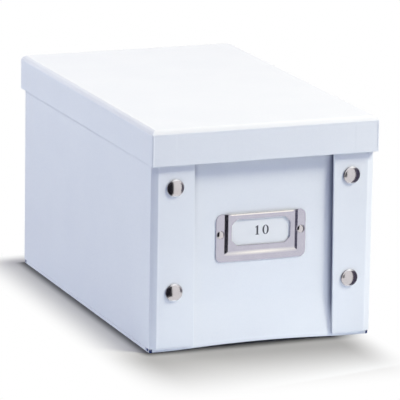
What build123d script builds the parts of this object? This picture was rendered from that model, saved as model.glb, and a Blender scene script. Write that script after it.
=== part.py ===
from build123d import *
from math import atan, degrees, hypot, sin
import os

# Flat-pack storage box for discs: paper-covered board panels joined by paper creases.
# Millimetres. X is to the right seen from the front, the front faces -Y, Z is up.
# The origin is on the table under the middle of the lid.

# Overall sizes, the lid being the widest part
lid_width = 160.0
lid_length = 262.0
box_height = 150.0

# Lid
lid_board = 1.2  # board with its covering paper
lid_skirt_height = 24.0  # from the top face down to the skirt's lower edge
lid_crease = 2.9  # how far each board stops short of the lid's top edges
lid_side_fit = 0.2  # lid to side wall, each side
lid_end_fit = 2.7  # lid to end flap, each end
lid_seat_gap = 0.2  # lid board over the walls' top edges
lid_seam_step = 0.15  # skirt paper trimmed short of each corner

# Body boards and paper hinges
board = 1.8
edge_round = 0.6  # folded paper rounds every free board edge
round_share = 0.4  # most of a board's thickness that one rounding may take
crease_land = 0.5  # how much of a board's edge each paper hinge covers
crease_bulge = 0.3  # outward bow of a paper hinge between its two boards
corner_crease_x = 4.6  # vertical corner hinge, along X
corner_crease_y = 2.0  # vertical corner hinge, along Y
base_crease_height = 2.6  # bottom hinges, base to wall
base_crease_side = 0.6  # base set in from the side walls
base_crease_end = 0.6  # base set in from the end walls
hinge_seat = 0.02  # glue line between a bowed board edge and its hinge

# The base bows up between two flat strips that stand on the table
base_bow = 1.8
foot_land = 6.4
bow_blend = 23.0  # run of the arc that leads into the bow

# End flaps, folded from the side walls over the front and rear walls
flap_width = 24.7
flap_lift = 0.1  # flap's lower edge above the corner of the bottom hinge
flap_top_drop = 1.0  # flap's upper edge below the walls' top

# End walls stand behind the flaps and kick out at the foot
end_wall_gap = 0.5  # end wall's vertical edges to the side walls or the corner hinges
toe_gap = 0.1  # foot of the end wall to the flap
toe_height = 27.4  # height over which the foot leans out
toe_bend_radius = 100.0

# Press studs, four at each end: cap and socket on the flap, stud and post on the wall
stud_from_crease = 11.7
stud_above_base = 40.5
stud_below_skirt = 15.5
cap_radius = 6.1
cap_height = 3.0
cap_rim_height = 1.3  # straight rim under the crown
socket_radius = 5.0
socket_bore = 2.3
socket_height = 2.2
socket_wall_gap = 0.3  # socket to the end wall
stud_radius = 2.1
stud_flap_gap = 0.3  # end of the stud to the flap
post_radius = 4.75
post_disc = 0.7

# Label holder, pressed from sheet and open at the top, its rivets midway between the studs
sheet = 0.6
flange_side = 5.7
flange_foot = 4.5
holder_corner = 4.0
pocket_width = 52.0  # at the foot of the sloping sides
pocket_height = 27.6
pocket_depth = 1.3  # clear depth behind the raised panel
ramp_run = 2.4
window_side = 3.25  # raised panel left beside, below and above the window
window_foot = 3.75
window_head = 3.55
window_clip = 3.8
window_corner = 0.8
rivet_from_pocket = 2.5
rivet_rise = 18.6  # above the holder's lower edge
rivet_head = 2.5
rivet_crown = 1.3
rivet_shank = 1.4
rivet_tail = 2.4
rivet_tail_height = 0.5
rivet_fit = 0.1

# Label card
card_thickness = 0.5
card_fit = 0.4
card_top_drop = 0.4

# Places worked out from the sizes above
lid_half_x = lid_width / 2
lid_half_y = lid_length / 2
lid_underside = box_height - lid_board
skirt_bottom = box_height - lid_skirt_height
wall_top = lid_underside - lid_seat_gap
side_face = lid_half_x - lid_board - lid_side_fit
flap_face = lid_half_y - lid_board - lid_end_fit
flap_back = flap_face - board
stack = socket_height + socket_wall_gap  # room between flap and wall
wall_face = flap_back - stack
wall_back = wall_face - board
toe_face = flap_back - toe_gap
side_wall_end = flap_face - corner_crease_y
flap_root = side_face - corner_crease_x
flap_edge = flap_root - flap_width
flap_bottom = base_crease_height + flap_lift
flap_top = wall_top - flap_top_drop
hinge_lean = (corner_crease_x - crease_land) / (corner_crease_y - crease_land)
hinge_at_toe = side_face - crease_land - (toe_face - side_wall_end) * hinge_lean
end_wall_half = min(side_face - board, hinge_at_toe) - end_wall_gap
base_half_x = side_face - base_crease_side
base_half_y = toe_face - base_crease_end
free_round = min(edge_round, round_share * board)
lid_round = min(edge_round, round_share * lid_board)
stud_x = flap_root - stud_from_crease
stud_heights = (stud_above_base, skirt_bottom - stud_below_skirt)
stud_spots = [(side * stud_x, z) for side in (-1, 1) for z in stud_heights]
rivet_height = sum(stud_heights) / 2
holder_bottom = rivet_height - rivet_rise
pocket_bottom = holder_bottom + flange_foot
holder_top = pocket_bottom + pocket_height
panel_half = pocket_width / 2 - ramp_run
window_low = pocket_bottom + ramp_run + window_foot
rivet_x = pocket_width / 2 + rivet_from_pocket
rivet_spots = [(side * rivet_x, rivet_height) for side in (-1, 1)]

os.makedirs("parts", exist_ok=True)


def finish(piece, name):
    piece.part.label = name
    export_step(piece.part, f"parts/{name}.step")


def outward(x, z, distance, end):
    # sketch plane whose local Y runs out of the end (front -1, rear 1), for turned pieces
    return Plane(origin=(x, end * distance, z), x_dir=(1, 0, 0), z_dir=(0, 0, end))


def end_axis(x, z):
    return Axis((x, 0, z), (0, 1, 0))


def bowed_edge(end_x, height):
    # flat strip, arc up, crown, arc down, flat strip: the base's curve at any height
    run = base_half_x - foot_land
    angle = 2 * atan(base_bow / run)
    low_radius = bow_blend / sin(angle)
    high_radius = (run - bow_blend) / sin(angle)
    left = Line((-end_x, height), (-run, height))
    rise = JernArc(left @ 1, left % 1, low_radius, degrees(angle))
    crown = JernArc(rise @ 1, rise % 1, high_radius, -2 * degrees(angle))
    fall = JernArc(crown @ 1, crown % 1, low_radius, degrees(angle))
    Line(fall @ 1, (end_x, height))


def hinge_outline(board_a, land_a, board_b, land_b):
    # paper strip from one board's edge to the next, both faces bowed outwards
    def bowed(p, q):
        length = hypot(q[0] - p[0], q[1] - p[1])
        normal = ((q[1] - p[1]) / length, (p[0] - q[0]) / length)
        if normal[0] * (p[0] + q[0] - land_a[0] - land_b[0]) < 0:
            normal = (-normal[0], -normal[1])
        middle = ((p[0] + q[0]) / 2, (p[1] + q[1]) / 2)
        return (middle[0] + crease_bulge * normal[0], middle[1] + crease_bulge * normal[1])

    outer = bowed(board_a, board_b)
    shift = ((land_a[0] + land_b[0] - board_a[0] - board_b[0]) / 2,
             (land_a[1] + land_b[1] - board_a[1] - board_b[1]) / 2)
    inner = (outer[0] + shift[0], outer[1] + shift[1])
    ThreePointArc(board_a, outer, board_b)
    Line(board_b, land_b)
    ThreePointArc(land_b, inner, land_a)
    Line(land_a, board_a)


# Base panel
with BuildPart() as base_panel:
    with BuildSketch(Plane.XZ.offset(-base_half_y)):
        with BuildLine():
            bowed_edge(base_half_x, 0)
            bowed_edge(base_half_x, board)
            Line((-base_half_x, 0), (-base_half_x, board))
            Line((base_half_x, 0), (base_half_x, board))
        make_face()
    extrude(amount=2 * base_half_y)
finish(base_panel, "base_panel")

# Side walls
for side, side_name in ((-1, "left"), (1, "right")):
    with BuildPart() as side_wall:
        with BuildSketch(Plane.XY.offset(base_crease_height)):
            with Locations((side * (side_face - board / 2), 0)):
                Rectangle(board, 2 * side_wall_end)
        extrude(amount=wall_top - base_crease_height)
        fillet(side_wall.faces().sort_by(Axis.Z)[-1].edges().filter_by(Axis.Y), free_round)
    finish(side_wall, f"{side_name}_wall")

# End walls, the front one with holes for the rivets of the label holder
for end, end_name in ((-1, "front"), (1, "rear")):
    bend = base_crease_height + toe_height
    with BuildPart() as end_wall:
        with BuildSketch(Plane.YZ.offset(-end_wall_half)):
            with BuildLine():
                FilletPolyline(
                    (end * toe_face, base_crease_height),
                    (end * wall_face, bend),
                    (end * wall_face, wall_top),
                    (end * wall_back, wall_top),
                    (end * wall_back, bend),
                    (end * (toe_face - board), base_crease_height),
                    radius=(0, toe_bend_radius, 0, 0, toe_bend_radius, 0),
                    close=True,
                )
            make_face()
        extrude(amount=2 * end_wall_half)
        fillet(end_wall.faces().sort_by(Axis.Z)[-1].edges().filter_by(Axis.X), free_round)
        with BuildSketch(Plane.XZ):
            with BuildLine():
                bowed_edge(end_wall_half, base_crease_height + hinge_seat)
                Polyline(
                    (-end_wall_half, base_crease_height + hinge_seat),
                    (-end_wall_half, 0),
                    (end_wall_half, 0),
                    (end_wall_half, base_crease_height + hinge_seat),
                )
            make_face()
        extrude(amount=lid_half_y, both=True, mode=Mode.SUBTRACT)
        if end < 0:
            with BuildSketch(Plane.XZ.offset(wall_back)):
                with Locations(*rivet_spots):
                    Circle(rivet_shank + rivet_fit)
            extrude(amount=board, mode=Mode.SUBTRACT)
    finish(end_wall, f"{end_name}_wall")

# End flaps and the vertical corner hinges that carry them
for end, end_name in ((-1, "front"), (1, "rear")):
    for side, side_name in ((-1, "left"), (1, "right")):
        with BuildPart() as flap:
            with BuildSketch(Plane.XZ.offset(-end * flap_back)):
                with Locations((side * (flap_edge + flap_root) / 2, (flap_bottom + flap_top) / 2)):
                    Rectangle(flap_width, flap_top - flap_bottom)
            extrude(amount=-end * board)
            free_face = flap.faces().filter_by(Axis.X).sort_by(Axis.X)[-1 if side < 0 else 0]
            fillet(free_face.edges().filter_by(Axis.Z), free_round)
        finish(flap, f"{end_name}_{side_name}_flap")

        with BuildPart() as corner_hinge:
            with BuildSketch(Plane.XY.offset(flap_bottom)):
                with BuildLine():
                    hinge_outline(
                        (side * side_face, end * side_wall_end),
                        (side * (side_face - crease_land), end * side_wall_end),
                        (side * flap_root, end * flap_face),
                        (side * flap_root, end * (flap_face - crease_land)),
                    )
                make_face()
            extrude(amount=flap_top - flap_bottom)
        finish(corner_hinge, f"{end_name}_{side_name}_corner_hinge")

# Bottom hinges: straight along the side walls, bowed with the base at the ends
for side, side_name in ((-1, "left"), (1, "right")):
    with BuildPart() as side_hinge:
        with BuildSketch(Plane.XZ.offset(-(side_wall_end - board))):
            with BuildLine():
                hinge_outline(
                    (side * side_face, base_crease_height),
                    (side * (side_face - crease_land), base_crease_height),
                    (side * base_half_x, 0),
                    (side * base_half_x, crease_land),
                )
            make_face()
        extrude(amount=2 * (side_wall_end - board))
    finish(side_hinge, f"{side_name}_base_hinge")

for end, end_name in ((-1, "front"), (1, "rear")):
    with BuildPart() as end_hinge:
        with BuildLine(Plane.XZ.offset(-end * base_half_y)) as hinge_run:
            bowed_edge(end_wall_half, 0)
        with BuildSketch(Plane.YZ.offset(-end_wall_half)):
            Polygon(
                (end * toe_face, base_crease_height),
                (end * (toe_face - crease_land), base_crease_height),
                (end * base_half_y, crease_land),
                (end * base_half_y, 0),
                align=None,
            )
        sweep(path=hinge_run.line)
    finish(end_hinge, f"{end_name}_base_hinge")

# Press studs: all eight of each piece in one group, the stud standing in the socket's bore
with BuildPart() as stud_caps:
    for end in (-1, 1):
        for x, z in stud_spots:
            with BuildSketch(outward(x, z, flap_face, end)):
                with BuildLine():
                    crown = TangentArc((0, cap_height), (cap_radius, cap_rim_height), tangent=(1, 0))
                    Polyline(crown @ 1, (cap_radius, 0), (0, 0), (0, cap_height))
                make_face()
            revolve(axis=end_axis(x, z))
finish(stud_caps, "press_stud_caps")

with BuildPart() as stud_sockets:
    for end in (-1, 1):
        with BuildSketch(Plane.XZ.offset(-end * flap_back)):
            with Locations(*stud_spots):
                Circle(socket_radius)
                Circle(socket_bore, mode=Mode.SUBTRACT)
        extrude(amount=end * socket_height)
finish(stud_sockets, "press_stud_sockets")

with BuildPart() as studs:
    for end in (-1, 1):
        with BuildSketch(Plane.XZ.offset(-end * wall_face)):
            with Locations(*stud_spots):
                Circle(stud_radius)
        extrude(amount=-end * (stack - stud_flap_gap))
finish(studs, "press_stud_studs")

with BuildPart() as stud_posts:
    for end in (-1, 1):
        with BuildSketch(Plane.XZ.offset(-end * wall_back)):
            with Locations(*stud_spots):
                Circle(post_radius)
        extrude(amount=end * post_disc)
finish(stud_posts, "press_stud_posts")

# Label holder: a flat flange, a raised panel with three sloping sides, a clipped window
side_shift = sheet * (hypot(ramp_run, pocket_depth) - ramp_run) / pocket_depth


def pocket_outline(half_width, bottom, top):
    with Locations((0, (bottom + top) / 2)):
        Rectangle(2 * half_width, top - bottom)


with BuildPart() as label_holder:
    with BuildSketch(Plane.XZ.offset(wall_face)):
        with Locations((0, (holder_bottom + holder_top) / 2)):
            RectangleRounded(pocket_width + 2 * flange_side, holder_top - holder_bottom, holder_corner)
    extrude(amount=sheet)
    with BuildSketch(Plane.XZ.offset(wall_face + sheet)):
        pocket_outline(pocket_width / 2, pocket_bottom, holder_top)
    with BuildSketch(Plane.XZ.offset(wall_face + sheet + pocket_depth)):
        pocket_outline(panel_half, pocket_bottom + ramp_run, holder_top)
    loft(ruled=True)
    inner_bottom = pocket_bottom + side_shift
    with BuildSketch(Plane.XZ.offset(wall_face)):
        pocket_outline(pocket_width / 2 - side_shift, inner_bottom, holder_top + sheet)
    with BuildSketch(Plane.XZ.offset(wall_face + pocket_depth)):
        pocket_outline(panel_half - side_shift, inner_bottom + ramp_run, holder_top + sheet)
    loft(ruled=True, mode=Mode.SUBTRACT)
    with BuildSketch(Plane.XZ.offset(wall_face)) as window:
        window_high = holder_top - window_head
        with Locations((0, (window_low + window_high) / 2)):
            Rectangle(2 * (panel_half - window_side), window_high - window_low)
        chamfer(window.vertices(), window_clip)
        fillet(window.vertices(), window_corner)
    extrude(amount=pocket_depth + 2 * sheet, mode=Mode.SUBTRACT)
    with BuildSketch(Plane.XZ.offset(wall_face)):
        with Locations(*rivet_spots):
            Circle(rivet_shank + rivet_fit)
    extrude(amount=sheet, mode=Mode.SUBTRACT)
finish(label_holder, "label_holder")

with BuildPart() as rivets:
    grip = sheet + board
    for x, z in rivet_spots:
        with BuildSketch(outward(x, z, wall_face + sheet, -1)):
            with BuildLine():
                head = TangentArc((0, rivet_crown), (rivet_head, 0), tangent=(1, 0))
                Polyline(
                    head @ 1,
                    (rivet_shank, 0),
                    (rivet_shank, -grip),
                    (rivet_tail, -grip),
                    (rivet_tail, -grip - rivet_tail_height),
                    (0, -grip - rivet_tail_height),
                    (0, rivet_crown),
                )
            make_face()
        revolve(axis=end_axis(x, z))
finish(rivets, "label_rivets")

# Label card, free to slide up out of the holder
card_back = (pocket_depth - card_thickness) / 2
card_front = card_back + card_thickness
slope_in = side_shift + card_front * ramp_run / pocket_depth
card_half = pocket_width / 2 - slope_in - card_fit
card_bottom = pocket_bottom + slope_in + card_fit
with BuildPart() as label_card:
    with BuildSketch(Plane.XZ.offset(wall_face + card_back)):
        with Locations((0, (card_bottom + holder_top - card_top_drop) / 2)):
            Rectangle(2 * card_half, holder_top - card_top_drop - card_bottom)
    extrude(amount=card_thickness)
finish(label_card, "label_card")

# Lid: top board, four skirts and the creases between them
with BuildPart() as lid_top:
    with BuildSketch(Plane.XY.offset(lid_underside)):
        Rectangle(lid_width - 2 * lid_crease, lid_length - 2 * lid_crease)
    extrude(amount=lid_board)
finish(lid_top, "lid_top")

skirt_top = box_height - lid_crease
for side, side_name in ((-1, "left"), (1, "right")):
    with BuildPart() as skirt:
        with BuildSketch(Plane.XY.offset(skirt_bottom)):
            with Locations((side * (lid_half_x - lid_board / 2), 0)):
                Rectangle(lid_board, lid_length)
        extrude(amount=skirt_top - skirt_bottom)
        fillet(skirt.faces().sort_by(Axis.Z)[0].edges().filter_by(Axis.Y), lid_round)
    finish(skirt, f"lid_{side_name}_skirt")

for end, end_name in ((-1, "front"), (1, "rear")):
    with BuildPart() as skirt:
        with BuildSketch(Plane.XY.offset(skirt_bottom)):
            with Locations((0, end * (lid_half_y - lid_seam_step - (lid_board - lid_seam_step) / 2))):
                Rectangle(lid_width - 2 * lid_board, lid_board - lid_seam_step)
        extrude(amount=skirt_top - skirt_bottom)
        fillet(skirt.faces().sort_by(Axis.Z)[0].edges().filter_by(Axis.X), lid_round)
    finish(skirt, f"lid_{end_name}_skirt")

for side, side_name in ((-1, "left"), (1, "right")):
    with BuildPart() as lid_hinge:
        with BuildSketch(Plane.XZ.offset(-lid_half_y)):
            with BuildLine():
                hinge_outline(
                    (side * (lid_half_x - lid_crease), box_height),
                    (side * (lid_half_x - lid_crease), box_height - crease_land),
                    (side * lid_half_x, skirt_top),
                    (side * (lid_half_x - crease_land), skirt_top),
                )
            make_face()
        extrude(amount=lid_length)
        with BuildSketch(Plane.XY.offset(lid_underside - lid_crease)):
            with BuildLine():
                Polyline(
                    (side * (lid_half_x + crease_bulge), lid_half_y + crease_bulge),
                    (side * (lid_half_x + crease_bulge), -lid_half_y - crease_bulge),
                    (side * (lid_half_x - 2 * lid_crease), -lid_half_y + 2 * lid_crease),
                    (side * (lid_half_x - 2 * lid_crease), lid_half_y - 2 * lid_crease),
                    close=True,
                )
            make_face()
        extrude(amount=lid_skirt_height, mode=Mode.INTERSECT)
    finish(lid_hinge, f"lid_{side_name}_hinge")

for end, end_name in ((-1, "front"), (1, "rear")):
    with BuildPart() as lid_hinge:
        with BuildSketch(Plane.YZ.offset(-lid_half_x)):
            with BuildLine():
                hinge_outline(
                    (end * (lid_half_y - lid_crease), box_height),
                    (end * (lid_half_y - lid_crease), box_height - crease_land),
                    (end * lid_half_y, skirt_top),
                    (end * (lid_half_y - crease_land), skirt_top),
                )
            make_face()
        extrude(amount=lid_width)
        with BuildSketch(Plane.XY.offset(lid_underside - lid_crease)):
            with BuildLine():
                Polyline(
                    (lid_half_x + crease_bulge, end * (lid_half_y + crease_bulge)),
                    (-lid_half_x - crease_bulge, end * (lid_half_y + crease_bulge)),
                    (-lid_half_x + 2 * lid_crease, end * (lid_half_y - 2 * lid_crease)),
                    (lid_half_x - 2 * lid_crease, end * (lid_half_y - 2 * lid_crease)),
                    close=True,
                )
            make_face()
        extrude(amount=lid_skirt_height, mode=Mode.INTERSECT)
    finish(lid_hinge, f"lid_{end_name}_hinge")
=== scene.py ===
import math
import bmesh
import bpy
import numpy as np
from mathutils import Matrix, Vector


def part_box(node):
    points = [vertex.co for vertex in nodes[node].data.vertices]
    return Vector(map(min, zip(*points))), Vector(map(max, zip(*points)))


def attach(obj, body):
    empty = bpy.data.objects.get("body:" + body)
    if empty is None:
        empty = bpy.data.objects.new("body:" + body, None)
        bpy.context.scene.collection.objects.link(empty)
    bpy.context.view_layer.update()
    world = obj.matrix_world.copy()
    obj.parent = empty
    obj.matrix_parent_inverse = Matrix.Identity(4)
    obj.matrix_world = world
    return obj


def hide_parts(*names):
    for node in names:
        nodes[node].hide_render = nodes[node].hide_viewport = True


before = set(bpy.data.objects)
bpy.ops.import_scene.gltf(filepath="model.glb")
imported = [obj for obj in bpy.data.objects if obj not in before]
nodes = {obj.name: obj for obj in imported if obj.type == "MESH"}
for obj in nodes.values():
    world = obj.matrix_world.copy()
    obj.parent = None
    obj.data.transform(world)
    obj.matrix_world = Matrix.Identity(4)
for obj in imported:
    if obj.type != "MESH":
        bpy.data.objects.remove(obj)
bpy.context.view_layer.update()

# Board storage box with a lid, press studs and a metal label holder
# Lengths in the dictionaries are millimetres, the scene is in metres

mm = 0.001
scene = bpy.context.scene


def cadBounds(node):  # lowest and highest corner of a node in millimetres
    low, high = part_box(node)
    return np.array(low) / mm, np.array(high) / mm


# Shader sockets as numbers

class Wire:
    def __init__(self, paint, socket):
        self.paint, self.socket = paint, socket

    def math(self, operation, first, second):
        return self.paint.math(operation, first, second)

    def __add__(self, other):
        return self.math("ADD", self, other)

    def __sub__(self, other):
        return self.math("SUBTRACT", self, other)

    def __rsub__(self, other):
        return self.math("SUBTRACT", other, self)

    def __mul__(self, other):
        return self.math("MULTIPLY", self, other)

    __radd__, __rmul__ = __add__, __mul__


class Paint:  # a material, or the world, and the nodes in it
    def __init__(self, owner):
        owner.use_nodes = True
        self.owner, self.tree = owner, owner.node_tree
        self.tree.nodes.clear()

    def add(self, kind, settings=None, inputs=None, output=0):  # any node: its settings, then its inputs
        node = self.tree.nodes.new(kind)
        for key, value in (settings or {}).items():
            setattr(node, key, value)
        for key, value in (inputs or {}).items():
            if isinstance(value, Wire):
                self.tree.links.new(value.socket, node.inputs[key])
            elif isinstance(value, tuple) and len(value) == 3 and node.inputs[key].type == "RGBA":
                node.inputs[key].default_value = (*value, 1)
            else:
                node.inputs[key].default_value = value
        return Wire(self, node.outputs[output]) if len(node.outputs) else node

    def math(self, operation, first, second):
        return self.add("ShaderNodeMath", {"operation": operation}, {0: first, 1: second})

    def vector(self, operation, first, second):
        return self.add("ShaderNodeVectorMath", {"operation": operation}, {0: first, 1: second})

    def place(self):  # object coordinates in metres
        return self.add("ShaderNodeTexCoord", output="Object")

    def mark(self, name):  # a point attribute of the mesh, 0 where it has none
        return self.add("ShaderNodeAttribute", {"attribute_name": name}, output="Fac")

    def noise(self, scale, detail, stretch=(1, 1, 1), rough=0.5):  # on object coordinates
        spot = self.add("ShaderNodeMapping", None, {"Vector": self.place(), "Scale": stretch})
        return self.add("ShaderNodeTexNoise", None,
                        {"Vector": spot, "Scale": scale, "Detail": detail, "Roughness": rough})

    def blend(self, amount, first, second):  # colours: first where amount is 0, second where it is 1
        return self.add("ShaderNodeMix", {"data_type": "RGBA"}, {0: amount, 6: first, 7: second}, output=2)

    def seenRays(self):  # 1 where the camera, metal or glass looks straight at this
        kinds = ("Is Camera Ray", "Is Glossy Ray", "Is Transmission Ray")
        camera, metal, glass = (self.add("ShaderNodeLightPath", output=kind) for kind in kinds)
        return camera + metal + glass

    def smooth(self, value, low, high):  # 0 below low, 1 above high, soft between
        settings = {"interpolation_type": "SMOOTHSTEP"}
        return self.add("ShaderNodeMapRange", settings, {"Value": value, "From Min": low, "From Max": high})

    def bump(self, height, distance, strength, under=None):
        inputs = {"Height": height, "Distance": distance, "Strength": strength}
        if under is not None:
            inputs["Normal"] = under
        return self.add("ShaderNodeBump", None, inputs)

    def finish(self, shader):
        world = isinstance(self.owner, bpy.types.World)
        self.add("ShaderNodeOutputWorld" if world else "ShaderNodeOutputMaterial", None, {"Surface": shader})
        return self.owner


# Meshes from whole arrays of points

def gridFaces(rows, columns, loopRows=False, loopColumns=True):
    # quads between neighbours on a grid of points, each direction open or closed to a loop
    index = np.arange(rows * columns).reshape(rows, columns)
    index = np.vstack([index, index[:1]]) if loopRows else index
    index = np.hstack([index, index[:, :1]]) if loopColumns else index
    return np.stack([index[:-1, :-1], index[1:, :-1], index[1:, 1:], index[:-1, 1:]], -1).reshape(-1, 4)


def closedFaces(rows, columns):  # rings of points joined into a tube, with one face over each end
    first = np.arange(columns)
    return [*gridFaces(rows, columns), first, (first + (rows - 1) * columns)[::-1]]


def meshVolume(mesh):  # sum of the tetrahedra from the origin to each triangle
    mesh.calc_loop_triangles()
    corners = np.zeros(len(mesh.loop_triangles) * 3, int)
    mesh.loop_triangles.foreach_get("vertices", corners)
    spots = np.zeros(len(mesh.vertices) * 3)
    mesh.vertices.foreach_get("co", spots)
    a, b, c = spots.reshape(-1, 3)[corners.reshape(-1, 3)].transpose(1, 0, 2)
    return float(np.einsum("ij,ij->i", a, np.cross(b, c)).sum() / 6)


def makePiece(name, points, faces, marks=None):
    # points in millimetres, faces as rows of point numbers, marks as point attributes
    points = np.asarray(points, float).reshape(-1, 3) * mm
    mesh = bpy.data.meshes.new(name)
    mesh.from_pydata(points.tolist(), [], [face.tolist() for face in faces])
    for key, values in (marks or {}).items():
        values = np.ravel(values).astype(np.float32)
        mesh.attributes.new(key, "FLOAT", "POINT").data.foreach_set("value", values)
    mesh.update()
    if meshVolume(mesh) < 0:
        mesh.flip_normals()
    mesh.shade_smooth()
    piece = bpy.data.objects.new(name, mesh)
    scene.collection.objects.link(piece)
    return piece


def roundEdges(piece, width, segments=2, sharpest=60):  # a narrow bevel on every sharp edge
    bevel = piece.modifiers.new("edge", "BEVEL")
    bevel.width, bevel.segments = width * mm, segments
    bevel.limit_method, bevel.angle_limit = "ANGLE", math.radians(sharpest)


def dress(piece, body, slotName, material, *replaced):
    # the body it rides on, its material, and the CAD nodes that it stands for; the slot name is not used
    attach(piece, body)
    piece.data.materials.clear()
    piece.data.materials.append(material)
    if replaced:
        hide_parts(*replaced)
    return piece


bending = {"samples": 13, "taper": 0.85, "arcSteps": 6, "fullest": 0.45, "step": 0.05}


def softPath(corners, width):
    # a line through the corners, each point the weighted mean of the line within width of it,
    # so straight runs stay where they are and corners turn round
    corners = np.asarray(corners, float)
    steps = np.linalg.norm(np.diff(corners, axis=0), axis=1)
    first = corners[0] - (corners[1] - corners[0]) / steps[0] * 2 * width
    last = corners[-1] + (corners[-1] - corners[-2]) / steps[-1] * 2 * width
    line = np.vstack([first, corners[1:-1], last])
    along = np.concatenate([[-2 * width], np.cumsum(steps)[:-1], [steps.sum() + 2 * width]])
    reach = np.linspace(-1, 1, bending["samples"])
    weight = 1 - np.abs(reach) * bending["taper"]

    def point(s):
        s = np.asarray(s, float)[..., None] + reach * width
        spots = np.stack([np.interp(s, along, line[:, k]) for k in range(line.shape[1])], -1)
        return (spots * weight[:, None]).sum(-2) / weight.sum()

    return point, steps.sum(), np.concatenate([[0], np.cumsum(steps)])


def stationsAlong(length, corners, look):  # close together near the corners, wide apart elsewhere
    near, fine = look["near"], look["fine"]
    close = [np.arange(corner - near, corner + near + fine / 2, fine) for corner in corners]
    far = np.linspace(0, length, max(2, int(length / look["coarse"]) + 1))
    return np.unique(np.round(np.clip(np.concatenate([far, *close, [0, length]]), 0, length), 4))


def boardSection(radius, thick, low, high, fractions):
    # rounded rectangle round a board: depth in from the outer face, and place between low and high
    turn = np.linspace(0, np.pi / 2, bending["arcSteps"])
    fall, rise = 1 - np.cos(turn), 1 - np.sin(turn)
    inner = np.asarray(fractions, float)
    zero, one = np.zeros_like(inner), np.ones_like(inner)
    side = np.concatenate([0 * turn, zero, 0 * turn, 0 * turn + 1, one, 0 * turn + 1])
    depth = np.concatenate([fall[::-1], zero, fall, -fall[::-1], zero, -fall])
    share = np.concatenate([0 * turn, inner, 0 * turn + 1, 0 * turn + 1, inner[::-1], 0 * turn])
    lift = np.concatenate([rise[::-1], zero, -rise, -rise[::-1], zero, rise])
    radius, thick, low, high = (np.asarray(v, float)[:, None] for v in (radius, thick, low, high))
    return side * thick + depth * radius, low + share * (high - low) + lift * radius


def foldedBoard(path, length, s, thick, low, high, edge, fractions):
    # board carried along a path: point = path(s) - normal(s) * depth, rounded at both free ends
    direction = path(s + bending["step"]) - path(s - bending["step"])
    direction /= np.linalg.norm(direction, axis=1)[:, None]
    normal = np.stack([direction[:, 1], -direction[:, 0]], -1)
    radius = np.minimum(edge, bending["fullest"] * thick)
    near = np.clip(np.minimum(s, length - s), 0, radius)
    shrink = radius - np.sqrt(np.maximum(radius**2 - (radius - near) ** 2, 0))
    depth, place = boardSection(radius, thick, low + shrink, high - shrink, fractions)
    half = thick[:, None] / 2
    depth = half + (depth - half) * (1 - shrink[:, None] / half)
    flat = path(s)[:, None, :] - normal[:, None, :] * depth[..., None]
    return flat, place


def creaseMark(s, folds, width, columns):  # 1 on each fold line, fading to 0 over width, for every column
    mark = np.exp(-(((s[:, None] - np.asarray(folds)) / width) ** 2)).sum(1).clip(0, 1)
    return np.repeat(mark[:, None], columns, 1)


print("materials")

paperLook = {
    "colour": (0.872, 0.878, 0.895), "shade": (0.835, 0.845, 0.872), "gain": 1.0,
    "wearAndHighlight": 1.03, "palest": 0.98, "foldShare": 0.8,  # creases paler: wear along the walls' folds, painted highlight across the lid's bevels
    "open": (0.025, 0.045, 0.17),  # painted shade in slits, gaps and cut ends between boards
    "grain": (2600.0, 2.0), "fibre": (900.0, 4.0, (1.0, 0.35, 1.0), 0.62),  # size, detail, stretch, roughness
    "mottle": (26.0, 3.0), "wave": (9.0, 1.0),
    "fibreStep": (0.35, 0.75), "fibreShare": 0.5, "mottleStep": (0.3, 0.7), "mottleShare": 0.4,
    "grainRise": 0.5, "fibreRise": 0.7, "foldRise": 2.0,
    "grainDepth": 0.000035, "grainStrength": 0.7, "waveDepth": 0.0011,
    "roughness": 0.52, "spread": 0.16, "gloss": 0.32,
}


def paperMaterial(name, look):
    # matt covering paper: fibre grain, faint mottling, slow waves in the board, paler fold lines (wear, and a
    # painted highlight on the lid's bevels), painted shade in the slits between boards
    paint = Paint(bpy.data.materials.new(name))
    mottle, fibre, grain, wave = (paint.noise(*look[key]) for key in ("mottle", "fibre", "grain", "wave"))
    fold = paint.mark("fold")
    base = tuple(c * look["gain"] for c in look["colour"])
    shade = tuple(c * look["gain"] for c in look["shade"])
    wearAndHighlight = tuple(min(look["palest"], c * look["wearAndHighlight"]) for c in base)
    speck = (paint.smooth(fibre, *look["fibreStep"]) * look["fibreShare"]
             + paint.smooth(mottle, *look["mottleStep"]) * look["mottleShare"])
    # folds paler: wear along the creases, painted highlight across the lid's bevels
    colour = paint.blend(fold * look["foldShare"], paint.blend(speck, base, shade), wearAndHighlight)
    # painted shade where the boards' slits, gaps and cut ends are marked
    colour = paint.blend(paint.mark("open"), colour, look["open"])
    slow = paint.bump(wave * look["waveDepth"], 1.0, 1.0)
    rough = grain * look["grainRise"] + fibre * look["fibreRise"] + fold * grain * look["foldRise"]
    shader = paint.add("ShaderNodeBsdfPrincipled", None, {
        "Base Color": colour,
        "Roughness": look["roughness"] + (fibre - 0.5) * look["spread"],
        "Specular IOR Level": look["gloss"],
        "Normal": paint.bump(rough, look["grainDepth"], look["grainStrength"], slow),
    })
    return paint.finish(shader)


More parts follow.
